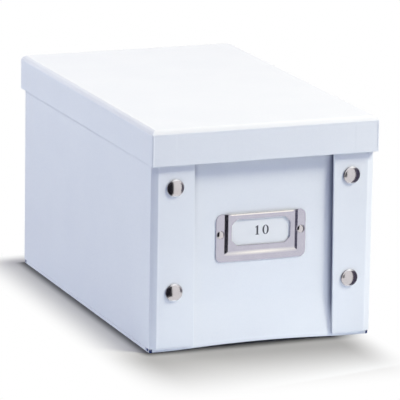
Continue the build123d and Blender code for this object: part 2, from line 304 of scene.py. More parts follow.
plateLook = {
    "cloud": (160.0, 3.0), "cloudStep": (0.35, 0.8), "cloudShare": 0.5, "cloudSpread": 0.04,
    # the first colour is a painted shade and dark reflection for a rim's steep side
    "paintedRimShade": (0.07, 0.06, 0.085), "mattShare": 0.85, "bump": 0.5,
}
metalLook = {
    "nickel": {
        **plateLook,
        "colour": (0.63, 0.60, 0.615), "tarnish": (0.56, 0.53, 0.545), "highlightColour": (0.97, 0.96, 0.95),
        "roughness": 0.20, "spread": 0.06, "grain": (700.0, 3.0, (1, 1, 1), 0.6), "depth": 0.000004,
    },
    "satin": {
        **plateLook,
        "colour": (0.545, 0.53, 0.61), "tarnish": (0.49, 0.475, 0.555), "highlightColour": (0.97, 0.93, 0.88),
        "roughness": 0.24, "spread": 0.10, "grain": (1500.0, 3.0, (0.05, 1, 1), 0.6), "depth": 0.000006,
    },
    "brass": {
        **plateLook,
        "colour": (0.78, 0.62, 0.34), "tarnish": (0.60, 0.47, 0.26), "highlightColour": (0.88, 0.74, 0.46),
        "roughness": 0.30, "spread": 0.15, "grain": (600.0, 3.0, (1, 1, 1), 0.6), "depth": 0.000006,
    },
}


def metalMaterial(name, look):
    # plated metal: fine polishing or brushing grain, faint tarnish, roughness that varies, painted highlights
    # on marked rims and edges, painted shade on marked rim sides
    paint = Paint(bpy.data.materials.new(name))
    grain, cloud = paint.noise(*look["grain"]), paint.noise(*look["cloud"])
    dull = paint.smooth(cloud, *look["cloudStep"]) * look["cloudShare"]
    colour = paint.blend(dull, look["colour"], look["tarnish"])
    # painted highlight where a rim or edge is marked
    colour = paint.blend(paint.mark("paintedHighlight"), colour, look["highlightColour"])
    # painted shade and dark reflection on a rim's steep side
    colour = paint.blend(paint.mark("paintedRimShade"), colour, look["paintedRimShade"])
    shader = paint.add("ShaderNodeBsdfPrincipled", None, {
        "Base Color": colour,
        # less metallic under the painted highlight, so it shows lamp-lit white
        "Metallic": 1 - paint.mark("highlightMatt") * look["mattShare"],
        "Roughness": look["roughness"] + (grain - 0.4) * look["spread"] + (cloud - 0.5) * look["cloudSpread"],
        "Normal": paint.bump(grain, look["depth"], look["bump"]),
    })
    return paint.finish(shader)


wallPaper = paperMaterial("wall_paper", paperLook)
# lid paper: its folds and bevels painted paler, wear and a painted highlight
lidPaper = paperMaterial("lid_paper", {**paperLook, "wearAndHighlight": 1.12, "gain": 1.01})
cardStock = paperMaterial("card_stock", {
    **paperLook, "colour": (0.875, 0.868, 0.865), "shade": (0.85, 0.845, 0.845),
    "grainDepth": 0.000018, "waveDepth": 0.0003,
})
nickel = metalMaterial("polished_nickel_plate", metalLook["nickel"])
satinSteel = metalMaterial("satin_plated_steel", metalLook["satin"])
brass = metalMaterial("plain_brass_fitting", metalLook["brass"])

for node, finish in {
    "press_stud_sockets": brass, "press_stud_studs": brass, "press_stud_posts": nickel,
}.items():
    nodes[node].data.materials.clear()
    nodes[node].data.materials.append(finish)

print("side boards")

boardLook = {
    "edge": 0.4, "foldDepth": 0.5, "foldRise": 0.1, "softness": 0.55, "foldWidth": 0.8,
    "near": 1.6, "fine": 0.12, "coarse": 16.0, "levels": (0.04, 0.96, 10),
    "frontEdge": {"left": (49.1, 47.7), "right": (49.2, 51.1)},  # where a front flap ends, head and foot
    "cutReach": 0.4, "cutFrom": 0.45, "cutBlur": 0.5, "cutShadeTone": 0.34,  # painted shade on each flap's cut end, darker further behind its face
}


def sideBoard(sideName, look):
    # side wall, corner folds and end flaps as one folded board, drawn on the right and mirrored
    wallLow, wallHigh = cadBounds("right_wall")
    flapLow, flapHigh = cadBounds("front_right_flap")
    face, wallEnd = wallHigh[0], -wallLow[1]
    flapFace, root, free = -flapLow[1], flapHigh[0], flapLow[0]
    middle = np.array([(root + face) / 2, -(wallEnd + flapFace) / 2])
    out = np.array([flapFace - wallEnd, -(face - root)])
    crown = middle + look["foldRise"] * out / np.linalg.norm(out)
    front = [(free, -flapFace), (root, -flapFace), tuple(crown), (face, -wallEnd)]
    path, length, corners = softPath(front + [(x, -y) for x, y in reversed(front)], look["softness"])
    fold = corners[[1, 3, 4, 6]]
    s = stationsAlong(length, corners, look)
    inFold = ((s > fold[0]) & (s < fold[1])) | ((s > fold[2]) & (s < fold[3]))
    inWall = (s >= fold[1]) & (s <= fold[2])
    thick = np.where(inFold, look["foldDepth"], wallHigh[0] - wallLow[0])
    low = np.where(inWall, wallLow[2], flapLow[2])
    high = np.where(inWall, wallHigh[2], flapHigh[2])
    flat, z = foldedBoard(path, length, s, thick, low, high, look["edge"], np.linspace(*look["levels"]))
    head, foot = look["frontEdge"][sideName]
    rise = (z - flapLow[2]) / (flapHigh[2] - flapLow[2])
    onFlap = np.clip((root - flat[..., 0]) / (root - free), 0, 1) * (flat[..., 1] < 0)
    flat[..., 0] += (foot + (head - foot) * rise - free) * onFlap
    depth = flapFace - np.abs(flat[..., 1])
    # painted shade on the flaps' cut ends, stronger further back from the flap's face
    atEnd = np.clip(1 - np.minimum(s, length - s)[:, None] / look["cutReach"], 0, 1)
    cutShade = atEnd * np.clip((depth - look["cutFrom"]) / look["cutBlur"], 0, 1) * look["cutShadeTone"]
    mirror = 1 if sideName == "right" else -1
    points = np.concatenate([flat * [mirror, 1], z[..., None]], -1)
    mark = creaseMark(s, fold, look["foldWidth"], z.shape[1])
    piece = makePiece(f"{sideName}_folded_board", points, closedFaces(*z.shape), {"fold": mark, "open": cutShade})
    replaced = [f"{end}_{sideName}_{part}" for end in ("front", "rear") for part in ("flap", "corner_hinge")]
    return dress(piece, "box", "wall_board", wallPaper, f"{sideName}_wall", *replaced)


for sideName in ("left", "right"):
    sideBoard(sideName, boardLook)

print("end boards and base")

endLook = {
    "board": 1.8, "edge": 0.5, "foldDepth": 0.5, "softness": 0.6, "foldWidth": 0.8, "tuck": 0.3,
    "near": 1.6, "fine": 0.12, "coarse": 14.0,
    "toeHeight": 27.4, "toeSoftness": 4.5, "toeStations": (-6, 6, 13), "toeReach": 14.0, "toeFade": 4.0,
    "footStrip": 6.4, "bow": 1.8, "blend": 23.0, "bowFade": 60.0,
    "levels": (0.01, 0.99, 40), "edgeColumns": (0.6, 2.6), "gapColumns": (47.5, 53.5, 9),
    "openHeight": 3.0, "openWidth": 0.2,  # painted shade at the ends of the bottom creases
    "gapFrom": (46.2, 48.6), "gapBlur": 3.4, "gapShadeTone": 0.74, "gapFoot": 12.0,  # painted shade on the wall in the slit behind the flaps
}


def bowLift(x, run, look):
    # flat at the foot strips, an arc up over the blend, and the crown's arc between
    angle = 2 * math.atan(look["bow"] / run)
    lowRadius, highRadius = look["blend"] / math.sin(angle), (run - look["blend"]) / math.sin(angle)
    inside = np.clip(run - np.abs(x), 0, None)
    rise = lowRadius - np.sqrt(np.maximum(lowRadius**2 - np.minimum(inside, look["blend"]) ** 2, 0))
    crown = look["bow"] - (highRadius - np.sqrt(np.maximum(highRadius**2 - x**2, 0)))
    return np.where(inside < look["blend"], rise, crown)


def endsAndBase(look):
    # front wall, base and rear wall as one board folded under the box
    wallLow, wallHigh = cadBounds("front_wall")
    baseHigh = cadBounds("base_panel")[1]
    toe, back, half, top = -wallLow[1], -wallHigh[1], wallHigh[0], wallHigh[2]
    face, foot = back + look["board"], cadBounds("right_base_hinge")[1][2]
    front = [(-face, top), (-face, foot + look["toeHeight"]), (-toe, foot), (-toe, foot * look["tuck"]),
             (-baseHigh[1], 0)]
    outline = front + [(-y, z) for y, z in reversed(front)]
    path, length, corners = softPath(outline, look["softness"])
    broad = softPath(outline, look["toeSoftness"])[0]
    fold, bend = corners[[2, 4, 5, 7]], corners[[1, 8]]
    s = stationsAlong(length, [*corners[2:8], 0, length], look)
    s = np.unique(np.concatenate([s, (bend[:, None] + np.linspace(*look["toeStations"])).ravel()]))

    def route(t):  # wide rounding where the foot leans out, narrow at the folds
        atToe = np.minimum(np.abs(t - bend[0]), np.abs(t - bend[1]))
        share = np.clip((look["toeReach"] - atToe) / look["toeFade"], 0, 1)[..., None]
        return path(t) * (1 - share) + broad(t) * share

    inFold = ((s > fold[0]) & (s < fold[1])) | ((s > fold[2]) & (s < fold[3]))
    inBase = (s >= fold[1]) & (s <= fold[2])
    thick = np.where(inFold, look["foldDepth"], look["board"])
    wide = np.where(inBase, baseHigh[0], half)
    close = np.concatenate([look["edgeColumns"], half - np.linspace(*look["gapColumns"])]) / (2 * half)
    fractions = np.unique([*np.linspace(*look["levels"]), *close, *(1 - close)])
    flat, x = foldedBoard(route, length, s, thick, -wide, wide, look["edge"], fractions)
    fade = np.clip(1 - (flat[..., 1] - foot) / look["bowFade"], 0, 1)
    lift = bowLift(x, baseHigh[0] - look["footStrip"], look) * fade * fade * (3 - 2 * fade)
    z = flat[..., 1] + lift
    # painted shade where the bottom creases end at the corners, and on the wall in the slit behind each
    # flap's free edge
    nearFold = np.abs(s[:, None] - (fold[[0, 3]])).min(1) < look["openHeight"]
    creaseEndShade = nearFold[:, None] * (np.abs(x) > half - look["openWidth"])
    gapHead, gapFoot = look["gapFrom"]
    past = (np.abs(x) - gapFoot - (gapHead - gapFoot) * z / top) / look["gapBlur"]
    slitShade = np.clip(past, 0, 1) * (z > foot + look["gapFoot"]) * look["gapShadeTone"]
    outside = np.arange(x.shape[1]) < len(fractions) + 2 * bending["arcSteps"]  # outer face, rounded edges
    mark = creaseMark(s, fold, look["foldWidth"], x.shape[1])
    piece = makePiece("end_walls_and_base", np.stack([x, flat[..., 0], z], -1), closedFaces(*x.shape),
                      {"fold": mark, "open": np.maximum(creaseEndShade, slitShade * outside)})
    return dress(piece, "box", "wall_board", wallPaper, "front_wall", "rear_wall", "base_panel",
                 "front_base_hinge", "rear_base_hinge")


endsAndBase(endLook)

foldLook = {"tuck": 0.3, "softness": 0.275, "depth": 0.5, "edge": 0.2, "turns": 26,
            "levels": (0.02, 0.98, 24), "wearAndHighlight": 0.4, "openEnd": 1.2, "openHeight": 0.9}


def sideFold(sideName, look):
    # paper fold between a side wall and the base, a thin strip bowed outwards, paler all over like the
    # creases, with painted shade where its ends gape
    low, high = cadBounds("right_base_hinge")
    path, length, _ = softPath([(low[0], 0), (high[0], high[2] * look["tuck"]), (high[0], high[2])],
                               look["softness"])
    s = np.linspace(0, length, look["turns"])
    thick, start, end = (value + 0 * s for value in (look["depth"], low[1], high[1]))
    flat, y = foldedBoard(path, length, s, thick, start, end, look["edge"], np.linspace(*look["levels"]))
    mirror = 1 if sideName == "right" else -1
    gapeShade = (np.abs(y) > high[1] - look["openEnd"]) & (flat[..., 1] > look["openHeight"])
    piece = makePiece(f"{sideName}_base_fold", np.stack([flat[..., 0] * mirror, y, flat[..., 1]], -1),
                      closedFaces(*y.shape), {"fold": look["wearAndHighlight"] + 0 * y, "open": gapeShade})
    return dress(piece, "box", "hinge_paper", wallPaper, f"{sideName}_base_hinge")


for sideName in ("left", "right"):
    sideFold(sideName, foldLook)

print("lid")

lidLook = {
    "crease": 2.9, "creaseRise": 0.3, "softness": 0.5, "foldWidth": 0.7, "inward": 9.0,
    "cornerRadius": 0.7, "cornerSteps": 7, "leastRadius": 0.02, "sideSteps": 26, "hold": 0.3,
    "seamStep": 0.15, "seamWidth": 0.12, "lapPlace": 16.5, "lapStep": 0.09, "lapWidth": 0.8, "skirtFade": 1.0,
    "near": 1.2, "fine": 0.1, "coarse": 7.0,
}


def lidShell(look):
    # top board and skirts as one wrapped shell: a profile of inset and height, carried round the outline
    sideLow, sideHigh = cadBounds("lid_right_skirt")
    topLow, topHigh = cadBounds("lid_top")
    halfX, halfY = sideHigh[0], sideHigh[1]
    board, bottom, top, under = sideHigh[0] - sideLow[0], sideLow[2], topHigh[2], topLow[2]
    crease, rise = look["crease"], look["creaseRise"] / math.sqrt(2)
    profile = [(look["inward"], top), (crease, top), (crease / 2 - rise, top - crease / 2 + rise),
               (0, top - crease), (0, bottom), (board, bottom), (board, under), (look["inward"], under)]
    path, length, corners = softPath(profile, look["softness"])
    s = stationsAlong(length, corners[1:-1], look)
    inset, z = path(s).T
    turn = np.linspace(0, np.pi / 2, look["cornerSteps"])

    # shares of a side's length where the seam and the paper's lap step in
    straight, whole = 2 * (halfX - look["cornerRadius"]), 2 * halfX
    seam, lap = ((v - look["cornerRadius"]) / straight for v in (board, look["lapPlace"]))
    step, lapSpan, near = (look[k] / whole for k in ("seamWidth", "lapWidth", "hold"))
    even = np.unique([*np.linspace(0, 1, look["sideSteps"])[1:-1], near, 1 - near])
    edges = np.array([seam - step, seam, seam + step, seam + step + near, lap - near, lap, lap + lapSpan,
                      lap + lapSpan + near])
    across = np.unique(np.concatenate([even, edges, 1 - edges]))

    radius = np.maximum(look["cornerRadius"] - inset, look["leastRadius"])[:, None]
    spread = np.stack([halfX - inset, halfY - inset], -1)
    signs = np.array([(1, -1), (1, 1), (-1, 1), (-1, -1)])
    starts = np.array([-np.pi / 2, 0, np.pi / 2, np.pi])
    arcs = [np.stack([sign[0] * (spread[:, :1] - radius) + radius * np.cos(start + turn),
                      sign[1] * (spread[:, 1:] - radius) + radius * np.sin(start + turn)], -1)
            for sign, start in zip(signs, starts)]
    rings, steps = [], []
    for k in range(4):  # corner, then the straight side to the next corner
        share = across if k in (1, 3) else even
        first, last = arcs[k][:, -1:], arcs[(k + 1) % 4][:, :1]
        rings += [arcs[k], first + (last - first) * share[:, None]]
        inward = np.minimum(share, 1 - share)
        sunk = look["seamStep"] * np.clip((inward - seam) / step, 0, 1)
        sunk += look["lapStep"] * np.clip((inward - lap) / lapSpan, 0, 1)
        steps += [0 * turn, sunk if k in (1, 3) else 0 * share]
    ring = np.concatenate(rings, 1)
    onSkirt = np.clip((top - crease - z) / look["skirtFade"], 0, 1) * (inset < board / 2)
    ring[..., 1] -= np.sign(ring[..., 1]) * np.concatenate(steps) * onSkirt[:, None]
    rows, columns = ring.shape[:2]
    points = np.concatenate([ring, np.repeat(z[:, None, None], columns, 1)], -1)
    # the whole bevel is marked as a fold, so it is painted paler: a painted highlight along the bevel
    onCrease = ((s > corners[1]) & (s < corners[3]))[:, None]
    crest = np.maximum(creaseMark(s, corners[[1, 3]], look["foldWidth"], columns), onCrease)
    piece = makePiece("lid_wrapped_board", points, closedFaces(rows, columns), {"fold": crest})
    replaced = [f"lid_{n}_{part}" for n in ("left", "right", "front", "rear") for part in ("skirt", "hinge")]
    return dress(piece, "lid", "lid_board", lidPaper, "lid_top", *replaced)


lidShell(lidLook)

print("press studs")


def domeLine(reach, low, high, slope, steps):
    # arc of a dome from beside its axis to its edge: reach by the turn's sine, height by its cosine
    turn = np.linspace(0, slope, steps)[1:]
    share = (np.cos(turn) - math.cos(slope)) / (1 - math.cos(slope))
    return [*zip(reach * np.sin(turn) / math.sin(slope), low + (high - low) * share)]


rimLook = {"shineBlur": 0.3, "shineRise": 0.5, "shineFocus": 8, "rimShadeBlur": 0.15}


def turnedPiece(name, profile, look, spots, ends):
    # profile of radius and height turned about Y at each spot, height measured out of the box's end
    # a painted highlight on the rim: paler and less metallic further out, strongest at the head and foot of
    # the turn a painted shade and dark reflection on the rim's steep side, strongest at its left and right
    look = {**rimLook, **look}
    path, length, corners = softPath(profile, look["softness"])
    around = look["around"]
    s = np.unique(np.round(np.concatenate([np.linspace(0, length, look["fine"]), corners]), 2))
    heights = path(s)[:, 1]
    radius, height = path(s[1:-1]).T[..., None]
    angle = np.linspace(0, 2 * np.pi, around, endpoint=False)
    past = radius - look["outer"]
    onRim = np.clip((past + look["shineWidth"]) / look["shineBlur"], 0, 1)
    shine = onRim * np.clip(height / look["shineRise"], 0, 1) * look["rimShine"]
    steep = np.clip((past + look["rimShadeWidth"]) / look["rimShadeBlur"], 0, 1) * look["rimShadeTone"]
    # painted highlight on the rim, strongest at its head and foot
    paintedHighlight = np.tile(np.append(shine * np.sin(angle) ** look["shineFocus"], [0, 0]), len(spots))
    # painted shade and dark reflection on the rim's steep side, strongest at its left and right
    paintedRimShade = np.tile(np.append(steep * np.cos(angle) ** 2, [0, 0]), len(spots))
    pole, ring = len(radius) * around, np.arange(around)
    fanHead = np.stack([0 * ring + pole, ring, np.roll(ring, -1)], -1)
    fanFoot = np.stack([0 * ring + pole + 1, pole - around + np.roll(ring, -1), pole - around + ring], -1)
    groups = (gridFaces(len(radius), around), fanHead, fanFoot)
    points, faces = [], []
    for k, ((x, y, z), end) in enumerate(zip(spots, ends)):
        body = np.stack([x + radius * np.cos(angle), y + end * height + 0 * angle,
                         z + radius * np.sin(angle)], -1)
        points += [body.reshape(-1, 3), [[x, y + end * heights[0], z], [x, y + end * heights[-1], z]]]
        for group in groups:
            faces += [*(group[:, ::-int(end)] + k * (pole + 2))]
    return makePiece(name, np.vstack(points), faces, {"paintedHighlight": paintedHighlight, "highlightMatt": paintedHighlight, "paintedRimShade": paintedRimShade})


capLook = {"outer": 6.0, "clear": 0.1, "height": 3.0, "rimHeight": 1.4, "rimWidth": 0.95,
           "roll": ((0.2, 1.05), (0.0, 0.5), (0.15, 0.2), (0.5, 0.0)),  # rolled rim: in from its edge, height
           "slope": 0.56, "domeSteps": 12, "softness": 0.45, "fine": 112, "around": 84,
           "shineWidth": 1.1, "rimShine": 1.0, "rimShadeWidth": 0.25, "rimShadeTone": 0.9}


def studCaps(look):
    # domed cap with a rolled rim
    low, high = cadBounds("press_stud_caps")
    outer = look["outer"]
    inset = outer + look["clear"]
    face = high[1] - look["height"]
    dome = domeLine(outer - look["rimWidth"], look["rimHeight"], look["height"], look["slope"],
                    look["domeSteps"])
    roll = [(outer - inward, height) for inward, height in look["roll"]]
    profile = [(0.0, look["height"]), *dome, *roll, (0.0, 0.0)]
    spots = [(x, end * face, z) for end in (-1, 1) for x in (inset - high[0], high[0] - inset)
             for z in (low[2] + inset, high[2] - inset)]
    ends = [end for end in (-1, 1) for _ in range(4)]
    piece = turnedPiece("press_stud_domes", profile, look, spots, ends)
    return dress(piece, "box", "polished_nickel", nickel, "press_stud_caps")


studCaps(capLook)

print("label holder")

holderLook = {
    "sheet": 0.6, "depth": 1.3, "flangeSide": 5.7, "flangeFoot": 4.5, "corner": 4.0, "run": 2.4,
    "windowLeft": 2.35, "windowRight": 3.25, "windowFoot": 3.75, "windowHead": 3.55, "clip": 3.8,
    "footCorner": 1.1, "headCorner": 0.5, "bend": 0.35, "bendSoftness": 0.16, "edge": 0.12,
    "bendSteps": 15, "slopeSteps": 3, "flangeSteps": 6, "panelSteps": 8, "cornerSteps": 11, "sideSteps": 24,
    "headLine": 0.62, "headBlur": 0.1,  # painted highlight along the head edge
    "rampShine": 1.15, "rampReach": 0.7, "rampFocus": 4,  # painted highlight on the foot slope
}


def rampRise(q, look):  # height across the slope: 1 at its head, 0 at its foot, both bends rounded
    reach = np.linspace(-1, 1, look["bendSteps"]) * look["bendSoftness"]
    return np.clip(1 - (q[:, None] + reach), 0, 1).mean(1)


def rayHits(loop, corners, centre):
    # for each point of the loop, where the ray from the centre crosses the clipped outline
    least, slack = 1e-9, 1e-6  # no division by zero, and no gap at the outline's corners

    def cross(a, b):
        return a[..., 0] * b[..., 1] - a[..., 1] * b[..., 0]

    direction = (loop - centre)[:, None]
    edge = (np.roll(corners, -1, 0) - corners)[None]
    offset = (corners - centre)[None]
    below = cross(direction, edge)
    below = np.where(np.abs(below) < least, least, below)
    along, onEdge = cross(offset, edge) / below, cross(offset, direction) / below
    hit = (along > 0) & (onEdge > -slack) & (onEdge < 1 + slack)
    return centre + direction[:, 0] * np.where(hit, along, np.inf).min(1)[:, None]


def joinDoubles(piece, apart=0.01):
    # merge points no further apart than this and make the faces look out of the front
    work = bmesh.new()
    work.from_mesh(piece.data)
    bmesh.ops.remove_doubles(work, verts=work.verts, dist=apart * mm)
    bmesh.ops.recalc_face_normals(work, faces=work.faces)
    if sum(f.normal.y * f.calc_area() for f in work.faces) > 0:
        bmesh.ops.reverse_faces(work, faces=work.faces)
    work.to_mesh(piece.data)
    work.free()
    piece.data.shade_smooth()


def labelHolder(look):
    # pressed sheet: rings of stations from the window out, over the slope, to the flange's outline
    low, high = cadBounds("label_holder")
    halfFlange, top, bottom = high[0], high[2], low[2]
    panelFace, flangeFace = low[1], low[1] + look["depth"]
    halfFoot, footZ = halfFlange - look["flangeSide"], bottom + look["flangeFoot"]
    halfHead, headZ = halfFoot - look["run"], footZ + look["run"]
    left, right = look["windowLeft"] - halfHead, halfHead - look["windowRight"]
    floor, roof = headZ + look["windowFoot"], top - look["windowHead"]
    count, arc, corner = look["sideSteps"], look["cornerSteps"], look["corner"]

    def uShape(half, floor, radius):  # down the left side, along the foot, up the right side
        turn = np.linspace(0, np.pi / 2, arc)
        lean, rise = corner * np.sin(turn), corner * np.cos(turn)
        shoulder = np.stack([-half + corner - lean, top - corner + rise], -1)
        down = np.linspace(top - corner, floor + max(radius, corner - (floor - bottom)), count)[1:-1]
        side = np.stack([np.full_like(down, -half), down], -1)
        bend = np.stack([-half + radius - radius * np.cos(turn), floor + radius - radius * np.sin(turn)], -1)
        foot = np.stack([np.linspace(-half + radius, 0, count)[1:], np.full(count - 1, floor)], -1)
        leftHalf = np.vstack([shoulder, side, bend, foot])
        return np.vstack([leftHalf, (leftHalf * [-1, 1])[::-1][1:]])

    outline = uShape(halfFlange, bottom, corner)

    def innerU(half, floor, radius):  # the same stations at the same heights, with a straight top
        shape = uShape(half, floor, radius)
        shape[:arc, 0], shape[:arc, 1] = -half, outline[:arc, 1]
        shape[-arc:, 0], shape[-arc:, 1] = half, outline[-arc:, 1]
        return shape

    foot, head = innerU(halfFoot, footZ, look["footCorner"]), innerU(halfHead, headZ, look["headCorner"])
    bend, steps = look["bend"], look["bendSteps"]
    slope = np.unique(np.concatenate([np.linspace(-bend, bend, steps),
                                      np.linspace(bend, 1 - bend, look["slopeSteps"]),
                                      np.linspace(1 - bend, 1 + bend, steps)]))
    rim = np.linspace(0, 1, look["flangeSteps"])[1:]
    rings = [head + (foot - head) * q for q in slope]
    rings += [rings[-1] + (outline - rings[-1]) * q for q in rim]
    height = np.concatenate([rampRise(slope, look), 0 * rim]) * look["depth"]
    strip = np.stack([np.stack([r[:, 0], np.full(len(r), flangeFace) - h, r[:, 1]], -1)
                      for r, h in zip(rings, height)])

    inner, clip = rings[0], look["clip"]
    across = np.linspace(inner[-1, 0], inner[0, 0], 2 * count)[1:-1]
    loop = np.vstack([inner, np.stack([across, np.full_like(across, top)], -1)])
    corners = np.array([
        (left, roof - clip), (left, floor + clip), (left + clip, floor), (right - clip, floor),
        (right, floor + clip), (right, roof - clip), (right - clip, roof), (left + clip, roof),
    ])
    window = rayHits(loop, corners, np.array([0, (floor + roof) / 2]))
    sheet = np.stack([window + (loop - window) * q for q in np.linspace(0, 1, look["panelSteps"])])
    panel = np.stack([sheet[..., 0], np.full(sheet.shape[:2], panelFace), sheet[..., 1]], -1)

    panelFaces = gridFaces(*panel.shape[:2])
    stripFaces = gridFaces(*strip.shape[:2], loopColumns=False) + panel.shape[0] * panel.shape[1]
    # painted highlight: on the head edge, and on the foot slope where it faces down
    down = np.clip((head - foot)[:, 1] / np.linalg.norm(head - foot, axis=1), 0, 1) ** look["rampFocus"]
    along = np.concatenate([slope, 2 + rim])
    onRamp = np.clip(look["rampShine"] - np.abs(along - 0.5) / look["rampReach"], 0, 1)[:, None] * down
    onHead = np.clip((panel[..., 2] - top + look["headLine"]) / look["headBlur"], 0, 1)
    paintedHighlight = np.concatenate([onHead.ravel(), onRamp.ravel()])
    piece = makePiece("label_holder_plate", np.vstack([panel.reshape(-1, 3), strip.reshape(-1, 3)]),
                      [*panelFaces, *stripFaces], {"paintedHighlight": paintedHighlight})
    joinDoubles(piece)
    solid = piece.modifiers.new("thickness", "SOLIDIFY")
    solid.thickness, solid.offset, solid.use_even_offset = look["sheet"] * mm, -1, True
    roundEdges(piece, look["edge"])
    return dress(piece, "box", "satin_steel", satinSteel, "label_holder")


labelHolder(holderLook)

rivetLook = {"outer": 2.8, "crown": 1.3, "slope": 1.15, "domeSteps": 10, "shank": 1.4, "tail": 2.4,
             "tailHeight": 0.5, "softness": 0.12, "fine": 120, "around": 64,
             "shineWidth": 0.45, "rimShine": 0.7, "rimShadeWidth": 0.0, "rimShadeTone": 0.0}


def labelRivets(look):
    # domed head on the flange, shank through the wall, spread tail behind it
    low, high = cadBounds("label_rivets")
    reach, z = high[0] - (high[2] - low[2]) / 2, (low[2] + high[2]) / 2
    seat = -low[1] - look["crown"]
    grip = seat + cadBounds("front_wall")[1][1]
    end = -grip - look["tailHeight"]
    dome = domeLine(look["outer"], 0.0, look["crown"], look["slope"], look["domeSteps"])
    profile = [(0.0, look["crown"]), *dome, (look["shank"], 0.0), (look["shank"], -grip),
               (look["tail"], -grip), (look["tail"], end), (0.0, end)]
    spots = [(-reach, -seat, z), (reach, -seat, z)]
    piece = turnedPiece("label_rivet_heads", profile, look, spots, (-1, -1))
    return dress(piece, "box", "polished_nickel", nickel, "label_rivets")


labelRivets(rivetLook)

print("label number")

numberLook = {
    "height": 6.3, "width": 4.5, "gap": 1.7, "thick": 1.2, "thin": 0.36, "relief": 0.02, "lift": 0.01,
    "raise": 4.2, "around": 72,
    "stem": 0.85, "serif": 2.1, "collar": 3.2, "slant": 0.4,  # shares of half the width or half a stroke
    "flagTip": (2.4, 0.66), "flagUnder": (2.2, 0.52), "flagRoot": 0.64,
    "colour": (0.07, 0.065, 0.075), "faded": (0.154, 0.143, 0.165), "grain": (2500.0, 3.0),
    "fadeStep": (0.4, 0.8), "fadeShare": 0.5, "roughness": 0.55, "spread": 0.1, "gloss": 0.25,
}


def inkMaterial(look):  # printed ink, a little faded where the paper's grain shows through
    paint = Paint(bpy.data.materials.new("printed_ink"))
    grain = paint.noise(*look["grain"])
    fade = paint.smooth(grain, *look["fadeStep"]) * look["fadeShare"]
    shader = paint.add("ShaderNodeBsdfPrincipled", None, {
        "Base Color": paint.blend(fade, look["colour"], look["faded"]),
        "Roughness": look["roughness"] + (grain - 0.5) * look["spread"],
        "Specular IOR Level": look["gloss"],
    })
    return paint.finish(shader)


def cardNumber(look):
    # a plain number printed on the card: 1 as a serifed stem, 0 as a ring thick at its sides
    front = cadBounds("label_card")[0][1]
    holderLow, holderHigh = cadBounds("label_holder")
    middle = (holderLow[2] + holderHigh[2]) / 2 + look["raise"]
    height, width, thick, thin = (look[k] / 2 for k in ("height", "width", "thick", "thin"))
    angle = np.linspace(0, 2 * np.pi, look["around"], endpoint=False)
    centre, stem = look["gap"] / 2 + width, -look["gap"] / 2 - width * look["stem"]
    outer = np.stack([centre + width * np.cos(angle), height * np.sin(angle)], -1)
    inner = np.stack([centre + (width - 2 * thick) * np.cos(angle), (height - 2 * thin) * np.sin(angle)], -1)
    foot, collar, serif = -height + 2 * thin, -height + look["collar"] * thin, look["serif"] * thick
    tip, under = (np.array(look[key]) * [-thick, height] for key in ("flagTip", "flagUnder"))
    one = np.array([(-serif, -height), (serif, -height), (serif, foot), (thick, collar), (thick, height),
                    (look["slant"] * thick, height), tip, under, (-thick, look["flagRoot"] * height),
                    (-thick, collar), (-serif, foot)]) + [stem, 0]
    depths = front - np.array([look["lift"] + look["relief"], look["lift"]])

    def layers(outline):
        return np.stack([np.stack([outline[:, 0], np.full(len(outline), y), middle + outline[:, 1]], -1)
                         for y in depths])

    zeroPoints = np.concatenate([layers(outer), layers(inner)[::-1]]).reshape(-1, 3)
    points = np.vstack([zeroPoints, layers(one).reshape(-1, 3)])
    oneFaces = [face + len(zeroPoints) for face in closedFaces(2, len(one))]
    piece = makePiece("card_number", points, [*gridFaces(4, len(angle), loopRows=True), *oneFaces])
    piece.data.shade_flat()
    return dress(piece, "label_card", "card_paper", inkMaterial(look))


cardNumber(numberLook)

cardLook = {"drawn": 0.9, "corner": 0.8, "cornerSteps": 6, "edge": 0.12}


def labelCard(look):
    # the card as a thin rounded rectangle, drawn a little way up out of the pocket
    low, high = cadBounds("label_card")
    turn = np.linspace(0, np.pi / 2, look["cornerSteps"])
    radius, half, top = look["corner"], high[0], high[2] + look["drawn"]
    arc = radius * np.stack([np.cos(turn), np.sin(turn)], -1)
    head, foot = (half - radius, top - radius), (half - radius, low[2] + radius)
    right = np.vstack([foot + (arc * [1, -1])[::-1], head + arc])
    outline = np.vstack([right, (right * [-1, 1])[::-1]])
    layers = np.stack([np.stack([outline[:, 0], np.full(len(outline), y), outline[:, 1]], -1)
                       for y in (low[1], high[1])])
    piece = makePiece("printed_label_card", layers, closedFaces(2, len(outline)))
    piece.data.shade_flat()
    roundEdges(piece, look["edge"])
    return dress(piece, "label_card", "card_paper", cardStock, "label_card")


labelCard(cardLook)

print("studio")

